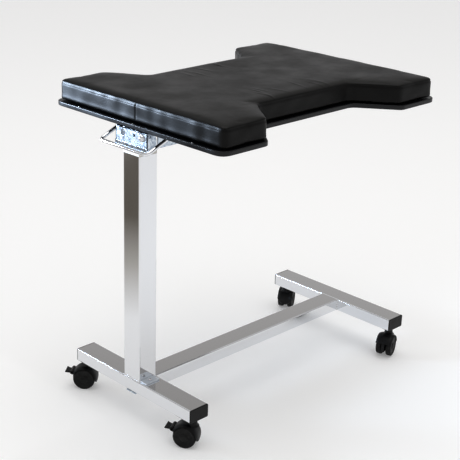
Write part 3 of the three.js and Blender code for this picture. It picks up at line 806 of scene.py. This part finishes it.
# %% [markdown]
# ## The pad
#
# The pad is foam in a sewn vinyl cover: a top panel, a band round the side and a seam between them. A
# cover is cut a little small, so the foam bulges in it and the top is slightly crowned. The bulge comes
# from a cloth simulation, with pressure inside a closed shape that starts a little too small. The seam is
# pressed in afterwards, because the voxel remesh before the simulation would swallow it.

# %% Pad before the simulation
pad_low, pad_high = box_of("pad")
PAD_SHRINK = 2.0 * MM
PAD_CORNER = 15 * MM
PAD_FOOT_ROUND = 1.0 * MM
PAD_TOP_ROUND = 5.0 * MM
VOXEL = 4.5 * MM


def pad_blank():
    """The hourglass, drawn in by PAD_SHRINK, with a small round at the bottom edge and a larger one at
    the top edge; both ends are closed."""
    outline = hourglass(LEDGE + PAD_SHRINK, PAD_CORNER)
    normal = inward(outline)
    bend = np.radians(np.linspace(0, 90, 5))
    foot, top, top_z = PAD_FOOT_ROUND, PAD_TOP_ROUND, pad_high[2] - PAD_SHRINK
    edge = [(foot * (1 - math.sin(a)), pad_low[2] + foot * (1 - math.cos(a))) for a in bend]
    edge += [(top * (1 - math.cos(a)), top_z - top * (1 - math.sin(a))) for a in bend]
    rows = [np.insert(outline + normal * inset + BOARD_MIDDLE[:2], 2, z, axis=1) for inset, z in edge]
    return make_piece("pad_cover", [(np.array(rows), False, True, True)], "top", "pad_vinyl", sharp=180)


def apply_modifiers(piece):
    """Put the result of all of a piece's modifiers into its mesh."""
    graph = bpy.context.evaluated_depsgraph_get()
    result = bpy.data.meshes.new_from_object(piece.evaluated_get(graph))
    piece.modifiers.clear()
    piece.data = result


pad = pad_blank()
pad.modifiers.clear()
remesh = pad.modifiers.new("even quads", "REMESH")
remesh.mode = "VOXEL"
remesh.voxel_size = VOXEL
apply_modifiers(pad)
print("pad blank", len(pad.data.vertices), "points")

# %% Swell the pad
SWELL_FRAMES = 20
SWELL_PRESSURE = 4
SWELL_CAP = 3.5 * MM


def points_of(mesh):
    """A mesh's points as rows of three numbers."""
    flat = np.empty(len(mesh.vertices) * 3)
    mesh.vertices.foreach_get("co", flat)
    return flat.reshape(-1, 3)


def set_points(mesh, points):
    """Put rows of three numbers back as a mesh's points."""
    mesh.vertices.foreach_set("co", points.astype(np.float32).ravel())
    mesh.update()


def swell(piece):
    """Inflate as cloth for SWELL_FRAMES frames, then cap how far any point may move."""
    before = points_of(piece.data)
    cloth = piece.modifiers.new("swell", "CLOTH")
    cloth.settings.use_pressure = True
    cloth.settings.uniform_pressure_force = SWELL_PRESSURE
    cloth.settings.effector_weights.gravity = 0
    cloth.settings.quality = 5
    for step in range(1, SWELL_FRAMES + 1):
        bpy.context.scene.frame_set(step)
    apply_modifiers(piece)
    bpy.context.scene.frame_set(1)
    move = points_of(piece.data) - before
    far = np.linalg.norm(move, axis=1, keepdims=True)
    set_points(piece.data, before + move * np.minimum(1, SWELL_CAP / np.maximum(far, 1e-9)))


swell(pad)
print("pad top after swelling", round(points_of(pad.data)[:, 2].max() / MM, 1), "mm")

# %% [markdown]
# Now the cover is sewn. One more subdivision gives points fine enough to carry a seam. Every detail is a
# small push along the surface's own normal: a groove for each seam, a fuller foot where the band is tucked
# under, drag lines where the cover is pulled round the waist, and a slow unevenness of the foam. The seams
# are one round the side, a little below the top edge, and one upright in the middle of each end.

# %% Sew and crease the cover
SEAM_DROP = 8.0 * MM
SEAM_WIDE = 1.5 * MM
SEAM_DEEP = 1.6 * MM
FOOT_FULL = 1.5 * MM
FOOT_TALL = 8 * MM
SIDE_WAVE, SIDE_WAVE_SIZE = 0.7 * MM, 46 * MM
TOP_WAVE, TOP_WAVE_SIZE = 0.45 * MM, 90 * MM
DRAG_LINES = 16
DRAG_WIDE, DRAG_LONG = 3.2 * MM, 24 * MM


def normals_of(mesh):
    """A mesh's point normals as rows of three numbers."""
    flat = np.empty(len(mesh.vertices) * 3)
    mesh.vertices.foreach_get("normal", flat)
    return flat.reshape(-1, 3)


def ridge(distance, width):
    """A smooth bump of height 1 that is width wide: exp(-(distance / width)^2)."""
    return np.exp(-((distance / width) ** 2))


def waves(points, size, seed):
    """Slow noise, mostly in -1..1: a quarter of the sum of eight plane waves of about the given size, in
    directions drawn from the seed."""
    rng = np.random.default_rng(seed)
    total = np.zeros(len(points))
    for _ in range(8):
        direction = rng.normal(size=3)
        direction *= 2 * np.pi / (size * rng.uniform(0.7, 1.6)) / np.linalg.norm(direction)
        total += np.sin(points @ direction + rng.uniform(0, 2 * np.pi))
    return total / 4


def drag_lines(points):
    """Short creases across the waist: each is a ridge along Y near the waist's edge, slightly turned. Two
    in three lie on the -Y side."""
    rng = np.random.default_rng(11)
    height = np.zeros(len(points))
    for k in range(DRAG_LINES):
        side = -1 if k % 3 else 1
        x = rng.uniform(-0.8, 0.5) * NECK_X
        y = side * (WAIST_HALF - rng.uniform(35, 80) * MM)
        lean = rng.uniform(-0.25, 0.25)
        along = points[:, 1] - y
        across = points[:, 0] - x - lean * along
        height += rng.uniform(0.35, 0.8) * MM * ridge(across, DRAG_WIDE) * ridge(along, DRAG_LONG)
    return height


def sew(piece):
    """Push the points of the cover along their normals; the flat underside stays where it rests. side is
    1 on an upright face and 0 on a level one."""
    finer = piece.modifiers.new("finer", "SUBSURF")
    finer.levels = finer.render_levels = 1
    apply_modifiers(piece)
    points, normal = points_of(piece.data), normals_of(piece.data)
    upper = points[:, 2] > pad_low[2] + PAD_FOOT_ROUND
    side = 1 - normal[:, 2] ** 2
    seam_z = pad_high[2] - SEAM_DROP
    push = -SEAM_DEEP * ridge(points[:, 2] - seam_z, SEAM_WIDE)
    push += FOOT_FULL * side * ridge(points[:, 2] - pad_low[2], FOOT_TALL)
    end_face = np.abs(normal[:, 0]) ** 6 * (points[:, 2] < seam_z)
    push -= SEAM_DEEP * end_face * ridge(points[:, 1], SEAM_WIDE)
    push += SIDE_WAVE * side * waves(points, SIDE_WAVE_SIZE, 3)
    push += TOP_WAVE * (1 - side) * waves(points, TOP_WAVE_SIZE, 5)
    push += drag_lines(points) * (normal[:, 2] > 0.7)
    points += normal * (push * upper)[:, None]
    points[:, 2] = np.maximum(points[:, 2], pad_low[2])
    set_points(piece.data, points)
    piece.data.shade_smooth()


sew(pad)
dress(pad, "pad_vinyl")
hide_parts("pad")
print("pad", len(pad.data.polygons), "faces, top at", round(points_of(pad.data)[:, 2].max() / MM, 1), "mm")

# %% [markdown]
# ## Studs on the ledge
#
# Three small bright studs pin the cover's flap to the board at its near edge. Each is a shallow dome.

# %% Studs
STUD_RADIUS = 1.8 * MM
STUD_HEIGHT = 1.1 * MM
STUD_Y = 172 * MM


def make_studs():
    """Domes with height h(r) = STUD_HEIGHT * sqrt(1 - (r / STUD_RADIUS)^2), on the ledge."""
    turn = np.radians(np.linspace(0, 86, 7))
    dome = [(STUD_RADIUS * math.cos(a), STUD_HEIGHT * math.sin(a)) for a in turn]
    parts = []
    for y in (-STUD_Y, 0.0, STUD_Y):
        centre = (board_low[0] + LEDGE / 2, y, board_high[2])
        parts.append((lathed(dome, 16, centre), False, True, True))
    return make_piece("ledge_studs", parts, "top", "steel_hardware", sharp=70)


studs = make_studs()
print("studs", len(studs.data.polygons), "faces")

# %% [markdown]
# ## The bracket
#
# A pressed and zinc-plated plate hangs under the near edge of the board, with an ear folded back at each
# end, a hem along its foot and a flange under the board. A flat sheet with holes is a filled curve: its
# outline and its holes are splines, its thickness is the curve's extrusion, and a small bevel breaks the
# edges. It is made a mesh first and put in place afterwards.

# %% Sheet parts
bracket_low, bracket_high = box_of("top_bracket")
SHEET = 2.5 * MM
SHEET_SOFT = 0.35 * MM


def sheet_points(outline, holes, thickness):
    """Mesh of a sheet with holes, lying in XY, from z = 0 to z = thickness."""
    curve = bpy.data.curves.new("sheet", "CURVE")
    curve.dimensions = "2D"
    curve.fill_mode = "BOTH"
    curve.extrude = thickness / 2 - SHEET_SOFT
    curve.bevel_depth = SHEET_SOFT
    curve.offset = -SHEET_SOFT
    curve.bevel_resolution = 2
    for loop in [outline, *holes]:
        spline = curve.splines.new("POLY")
        spline.points.add(len(loop) - 1)
        spline.points.foreach_set("co", np.insert(loop, [2, 2], [0.0, 1.0], axis=1).ravel())
        spline.use_cyclic_u = True
    holder = bpy.data.objects.new("sheet", curve)
    bpy.context.scene.collection.objects.link(holder)
    graph = bpy.context.evaluated_depsgraph_get()
    mesh = bpy.data.meshes.new_from_object(holder.evaluated_get(graph))
    bpy.data.objects.remove(holder)
    points = points_of(mesh)
    points[:, 2] += thickness / 2
    set_points(mesh, points)
    return mesh


def circle(centre, radius, steps=32):
    """A closed ring of points."""
    return arc(centre, radius, 0, 360, steps)[:-1]


def place_sheet(name, outline, holes, thickness, to_place, body, slot):
    """Make a sheet and put it in place: to_place is the 3 by 4 matrix from the sheet to the table."""
    mesh = sheet_points(outline, holes, thickness)
    points = points_of(mesh)
    set_points(mesh, points @ to_place[:, :3].T + to_place[:, 3])
    return finish_piece(name, mesh, body, slot)


def axes_matrix(x_axis, y_axis, z_axis, origin):
    """The sheet's own axes as columns, then where its origin goes."""
    return np.array([x_axis, y_axis, z_axis, origin], float).T


print("bracket in mm", np.round((bracket_high - bracket_low) / MM, 1))

# %% Bracket
PLATE_X = bracket_low[0] + 2 * MM
PLATE_HALF = 48 * MM
PLATE_ROUND = 1 * MM
HEM_TALL = 11 * MM
HEM_FOLD = 3 * MM
HEM_ROUND = 1.3 * MM
HEM_SOFT = 0.3 * MM
SHELF_ROUND = 8 * MM
HOLE_Z = bracket_high[2] - 11 * MM
PLATE_HOLES = [(26 * MM, 7 * MM), (-9 * MM, 3 * MM), (-33 * MM, 3.3 * MM)]
EAR_ROUND = (bracket_high[2] - bracket_low[2]) / 2
EAR_REACH = 23 * MM
EAR_HOLE_IN = 7 * MM
EAR_HOLE = 2.6 * MM
LOOKING_ALONG_X = ((0, 1, 0), (0, 0, 1), (1, 0, 0))


def make_front_plate():
    """A rectangle in YZ with three round holes."""
    y, low, high = PLATE_HALF, bracket_low[2], bracket_high[2]
    corners = [(-y, low), (y, low), (y, high), (-y, high)]
    outline = rounded_corners([(*corner, PLATE_ROUND) for corner in corners], 3)
    holes = [circle((at, HOLE_Z), radius) for at, radius in PLATE_HOLES]
    to_place = axes_matrix(*LOOKING_ALONG_X, (PLATE_X, 0, 0))
    return place_sheet("bracket_plate", outline, holes, SHEET, to_place, "top", "zinc_plate")


def make_ear(side):
    """A half-round ear in XZ: straight edges at top and bottom, an arc of radius EAR_ROUND between."""
    nose = PLATE_X + SHEET + EAR_REACH - EAR_ROUND
    round_end = arc((nose, bracket_low[2] + EAR_ROUND), EAR_ROUND, -90, 90, 20)
    start = np.array([(PLATE_X, bracket_high[2]), (PLATE_X, bracket_low[2])])
    outline = np.concatenate([start, round_end])
    hole = circle((PLATE_X + EAR_HOLE_IN, bracket_high[2] - EAR_HOLE_IN), EAR_HOLE, 20)
    y = side * PLATE_HALF + (SHEET if side < 0 else 0)
    to_place = axes_matrix((1, 0, 0), (0, 0, 1), (0, -1, 0), (0, y, 0))
    name = f"bracket_ear_{'left' if side > 0 else 'right'}"
    return place_sheet(name, outline, [hole], SHEET, to_place, "top", "zinc_plate")


def make_hem():
    """The folded lower edge: a rounded rectangle carried along Y."""
    depth = SHEET + HEM_FOLD
    outline = rounded_rectangle(depth, HEM_TALL, HEM_ROUND)
    centre = (bracket_low[0] + depth / 2, bracket_low[2] + HEM_TALL / 2)
    rows = carried(outline, (-PLATE_HALF, PLATE_HALF), (0, 0), 1, centre)
    return make_piece("bracket_hem", [(rows, False, True, True)], "top", "zinc_plate", bevel=HEM_SOFT)


def make_shelf():
    """The flange that lies under the board: a thin slab with rounded corners."""
    low, high = PLATE_X, bracket_high[0]
    inner = PLATE_HALF - SHEET
    near = [(low, -inner, PLATE_ROUND), (high, -inner, SHELF_ROUND)]
    far = [(high, inner, SHELF_ROUND), (low, inner, PLATE_ROUND)]
    outline = rounded_corners(near + far, 5)
    to_place = axes_matrix((1, 0, 0), (0, 1, 0), (0, 0, 1), (0, 0, bracket_high[2] - SHEET))
    return place_sheet("bracket_shelf", outline, [], SHEET, to_place, "top", "zinc_plate")


bracket_plate = make_front_plate()
bracket_parts = [bracket_plate, make_ear(1), make_ear(-1), make_hem(), make_shelf()]
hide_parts("top_bracket")
print("bracket", [p.name for p in bracket_parts])

# %% [markdown]
# ## The release bail
#
# The bail is one bent wire: a front bar to grip, two legs, and a shaft that turns in the rails. Its centre
# line is a rounded rectangle in a sloping plane, and a round section is carried along it.

# %% Release bail
BAIL_RADIUS = 4 * MM
BAIL_BEND = 9 * MM
BAIL_SPACING = 1.6 * MM


def joint_place(name):
    """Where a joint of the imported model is."""
    joint = next(j for j in frame["joints"] if j["name"] == name)
    return np.array(joint["pos_m"])


def make_bail():
    """The rounded rectangle's two directions are Y and the line from the front bar to the hinge."""
    low, high = box_of("release_bail")
    hinge = joint_place("bail_hinge")
    front = np.array([low[0] + BAIL_RADIUS, 0, low[2] + BAIL_RADIUS])
    leg = hinge - front
    length = np.linalg.norm(leg)
    width = high[1] - low[1] - 2 * BAIL_RADIUS
    outline = evenly(rounded_rectangle(width, length, BAIL_BEND, 10), BAIL_SPACING)
    across = np.array([0.0, 1.0, 0.0])
    path = outline[:, :1] * across + outline[:, 1:] * leg / length + (front + hinge) / 2
    tangent = np.roll(path, -1, axis=0) - np.roll(path, 1, axis=0)
    tangent /= np.linalg.norm(tangent, axis=1, keepdims=True)
    normal = np.cross(across, leg / length)
    side = np.cross(tangent, normal)
    angle = np.linspace(0, 2 * np.pi, 20, endpoint=False)[None, :, None]
    rows = path[:, None] + BAIL_RADIUS * (np.cos(angle) * side[:, None] + np.sin(angle) * normal)
    bail = make_piece("bail_wire", [(rows, True, True, False)], "release", "chrome_tube", sharp=180)
    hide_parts("release_bail")
    return bail


bail = make_bail()
print("bail", len(bail.data.polygons), "faces")

# %% [markdown]
# ## Bolt, tab and screw
#
# A chromed dome bolt holds the bracket, and a small plated tab sits on the foot beside the column, with a
# hole for its screw. The dome, its washer and the six-sided nut are turned profiles.

# %% Bolt and tab
BOLT_RADIUS = 7.0 * MM
BOLT_SHANK = 0.5 * MM
WASHER_RADIUS = 7.9 * MM
WASHER_BACK, WASHER_FACE = 0.2 * MM, 0.8 * MM
NUT_RADIUS, NUT_POINT_RADIUS = 5.6 * MM, 3 * MM
NUT_POINT = 0.8 * MM
TAB_ROUND = 2.5 * MM
TAB_HOLE = 2.4 * MM


def make_bracket_bolt():
    """A dome on a thin washer, turned about X, with its six-sided nut behind the plate."""
    low, high = box_of("bracket_bolt")
    middle = (low + high) / 2
    turn = np.radians(np.linspace(0, 84, 9))
    back, face = PLATE_X - WASHER_BACK, PLATE_X - WASHER_FACE
    washer = [(BOLT_SHANK, back), (WASHER_RADIUS, back), (WASHER_RADIUS, face), (BOLT_RADIUS, face)]
    dome = [(BOLT_RADIUS * math.cos(a), face - (face - low[0]) * math.sin(a)) for a in turn]
    nut = [(NUT_RADIUS, PLATE_X + SHEET), (NUT_RADIUS, high[0]), (NUT_POINT_RADIUS, high[0] + NUT_POINT)]
    centre = (0, *middle[1:])
    shapes = [lathed(washer + dome, 32, centre, axis=0), lathed(nut, 6, centre, axis=0)]
    parts = [(rows, False, True, True) for rows in shapes]
    bolt = make_piece("dome_bolt", parts, "top", "chrome_tube")
    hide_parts("bracket_bolt")
    return bolt


def make_tab():
    """A plate with soft corners that lies on the foot against the column."""
    low, high = box_of("column_tab")
    middle = (low + high) / 2
    width, depth = (high - low)[:2]
    outline = rounded_rectangle(width, depth, TAB_ROUND) + middle[:2]
    screw_low, screw_high = box_of("column_tab_screw")
    hole = circle(((screw_low + screw_high) / 2)[:2], TAB_HOLE)
    to_place = axes_matrix((1, 0, 0), (0, 1, 0), (0, 0, 1), (0, 0, low[2]))
    tab = place_sheet("tab_plate", outline, [hole], high[2] - low[2], to_place, "base", "chrome_tube")
    tab.data.materials[0] = satin
    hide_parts("column_tab")
    return tab


dome_bolt, tab = make_bracket_bolt(), make_tab()
print("bolt and tab", dome_bolt.name, tab.name)

# %% [markdown]
# ## Casters
#
# Each caster is a twin wheel under a moulded hood. The model's joints say where the stem is and which way
# the caster trails, so every part is drawn once with the stem at zero and the trail along X, and then
# turned and moved. The hood is a curved shell over both wheels with a rounded shoulder on each side, a
# web between the wheels and a boss for the stem.

# %% Caster places
WHEEL_RADIUS = 25 * MM
TRAIL = 14 * MM
CASTERS = ["column_left", "column_right", "far_left", "far_right"]


def caster_turn(name):
    """Stem position and heading of a caster, from its swivel and its wheel's joint."""
    stem = joint_place(f"{name}_swivel")
    out = joint_place(f"{name}_wheel_a_spin") - stem
    return stem, math.atan2(out[1], out[0])


def turned(points, name):
    """Points drawn at the origin with the trail along X, put where the caster stands."""
    stem, heading = caster_turn(name)
    cos, sin = math.cos(heading), math.sin(heading)
    x = points[..., 0] * cos - points[..., 1] * sin + stem[0]
    y = points[..., 0] * sin + points[..., 1] * cos + stem[1]
    return np.stack([x, y, points[..., 2]], -1)


print({name: round(math.degrees(caster_turn(name)[1])) for name in CASTERS})

# %% [markdown]
# A wheel's profile is a list of (radius, distance from the caster's middle) in mm, from the axle out over
# the tread and back in.

# %% Wheels
WHEEL_PROFILE = [
    (3.2, 5.0), (19.0, 5.0), (21.5, 5.6), (23.6, 6.0), (24.6, 7.0), (25.0, 8.6), (25.0, 15.6),
    (24.6, 17.2), (23.6, 18.3), (22.2, 18.8), (20.6, 18.9), (20.0, 18.3), (19.4, 17.7), (9.6, 17.4),
    (9.0, 17.9), (8.4, 18.6), (7.6, 19.1), (4.0, 19.9), (0.4, 20.1),
]


def make_wheel(name, letter):
    """A profile turned about the axle: flat inner face, round tread, recessed disc and a raised hub."""
    side = 1 if letter == "a" else -1
    profile = [(radius * MM, side * y * MM) for radius, y in WHEEL_PROFILE]
    rows = lathed(profile, 56, (TRAIL, 0, WHEEL_RADIUS), axis=1)
    node = f"{name}_caster_wheel_{letter}"
    parts = [(turned(rows, name), False, True, True)]
    wheel = make_piece(f"{node}_tyre", parts, node, "wheel_nylon", sharp=50)
    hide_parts(node)
    return wheel


wheels = [make_wheel(name, letter) for name in CASTERS for letter in "ab"]
print("wheels", len(wheels))

# %% Hoods
HOOD_RADIUS = 29.5 * MM
HOOD_HALF = 19.4 * MM
HOOD_WALL = 2.4 * MM
HOOD_FROM, HOOD_TO = 24, 200
HOOD_EDGE_DROP = 3.4 * MM
HOOD_CLOSING = 34
HOOD_CLOSED = 0.55
HOOD_INNER = 0.97
TYRE_GAP = 0.9 * MM
WEB_HALF = 4.0 * MM
WEB_DROP = 1.6 * MM
WEB_FROM, WEB_TO = -18, 200
BOSS_PROFILE = [(13.5, 49.0), (11.6, 50.6), (10.2, 53.2), (9.6, 56.0), (9.4, 59.0), (8.9, 60.0), (5.9, 60.0)]


def hood_roof():
    """The section at each angle round the axle: outside radius HOOD_RADIUS - HOOD_EDGE_DROP * |v|^4 for v
    from -1 to 1 across the width, then back inside one wall lower. Over the last HOOD_CLOSING degrees the
    width closes by the share HOOD_CLOSED to a blunt end."""
    angle = np.radians(np.linspace(HOOD_FROM, HOOD_TO, 48))[:, None]
    across = np.linspace(-1, 1, 17)
    outside = HOOD_RADIUS - HOOD_EDGE_DROP * np.abs(across) ** 4
    inside = np.minimum(outside - HOOD_WALL, HOOD_RADIUS - HOOD_WALL)[::-1]
    radius = np.concatenate([outside, np.maximum(inside, WHEEL_RADIUS + TYRE_GAP)])[None, :]
    v = np.concatenate([across, across[::-1] * HOOD_INNER])[None, :]
    closing = np.clip((np.degrees(angle) - (HOOD_TO - HOOD_CLOSING)) / HOOD_CLOSING, 0, 1)
    half = HOOD_HALF * (1 - HOOD_CLOSED * closing**2)
    x = TRAIL + radius * np.cos(angle)
    z = WHEEL_RADIUS + radius * np.sin(angle)
    return np.stack([x, half * v + 0 * x, z], -1)


def hood_web():
    """The wall between the wheels: an arc under the roof, closed by a chord, carried across Y."""
    rim = arc((TRAIL, WHEEL_RADIUS), HOOD_RADIUS - WEB_DROP, WEB_FROM, WEB_TO, 40)
    return carried(rim - rim.mean(0), (-WEB_HALF, WEB_HALF), (0, 0), 1, rim.mean(0))


def hood_boss():
    """The round boss that takes the stem, with a fillet into the roof; BOSS_PROFILE is in mm."""
    return lathed([(radius * MM, z * MM) for radius, z in BOSS_PROFILE], 36, (0, 0, 0))


def make_hood(name):
    """Roof, web and boss in one moulding."""
    parts = [
        (turned(hood_roof(), name), False, True, True),
        (turned(hood_web(), name), False, True, True),
        (turned(hood_boss(), name), False, True, True),
    ]
    node = f"{name}_caster_hood"
    hood = make_piece(f"{node}_moulded", parts, f"{name}_caster", "caster_plastic", sharp=50)
    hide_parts(node)
    return hood


hoods = [make_hood(name) for name in CASTERS]
print("hoods", len(hoods), "of", len(hoods[0].data.polygons), "faces")

# %% Brake pedals
PEDAL_X, PEDAL_Z = 42 * MM, 38 * MM
PEDAL_START, PEDAL_LONG = 2 * MM, 16 * MM
PEDAL_HALF, PEDAL_FLARE = 9.5 * MM, 4.5 * MM
PEDAL_THICK, PEDAL_THINNING = 6.0 * MM, 2.6 * MM
PEDAL_DROP, PEDAL_LIFT = 1.0 * MM, 2.5 * MM
PEDAL_NOTCH = 5 * MM
PEDAL_HUB = [(2.6, -13.0), (4.6, -13.0), (5.0, -12.4), (5.0, 12.4), (4.6, 13.0), (2.6, 13.0)]


def pedal_blade():
    """For s from 0 at the hub to 1 at the tip, the half width is PEDAL_HALF + PEDAL_FLARE s^2, the middle
    rises by PEDAL_LIFT s^2 and the thickness is PEDAL_THICK - PEDAL_THINNING s. The tip is drawn back by
    PEDAL_NOTCH in its middle, like a fish's tail."""
    s = np.linspace(0, 1, 16)[:, None]
    outline = rounded_rectangle(2.0, 1.0, 0.3, 5)
    across, up = outline[None, :, 0], outline[None, :, 1]
    y = across * (PEDAL_HALF + PEDAL_FLARE * s**2)
    z = up * (PEDAL_THICK - PEDAL_THINNING * s) + PEDAL_LIFT * s**2 - PEDAL_DROP
    x = PEDAL_START + (PEDAL_LONG - PEDAL_START) * s - PEDAL_NOTCH * s**2 * (1 - np.abs(across))
    return np.stack([PEDAL_X + x + 0 * y, y, PEDAL_Z + z], -1)


def make_pedal(name):
    """Blade and hub in one moulding, on the pedal's own body."""
    hub = lathed([(radius * MM, y * MM) for radius, y in PEDAL_HUB], 28, (PEDAL_X, 0, PEDAL_Z), axis=1)
    node = f"{name}_caster_pedal"
    parts = [(turned(pedal_blade(), name), False, True, True), (turned(hub, name), True, True, False)]
    pedal = make_piece(f"{node}_moulded", parts, node, "caster_plastic", sharp=50)
    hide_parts(node)
    return pedal


pedals = [make_pedal(name) for name in CASTERS if f"{name}_caster_pedal" in frame["bodies"]]
print("pedals", [p.name for p in pedals])
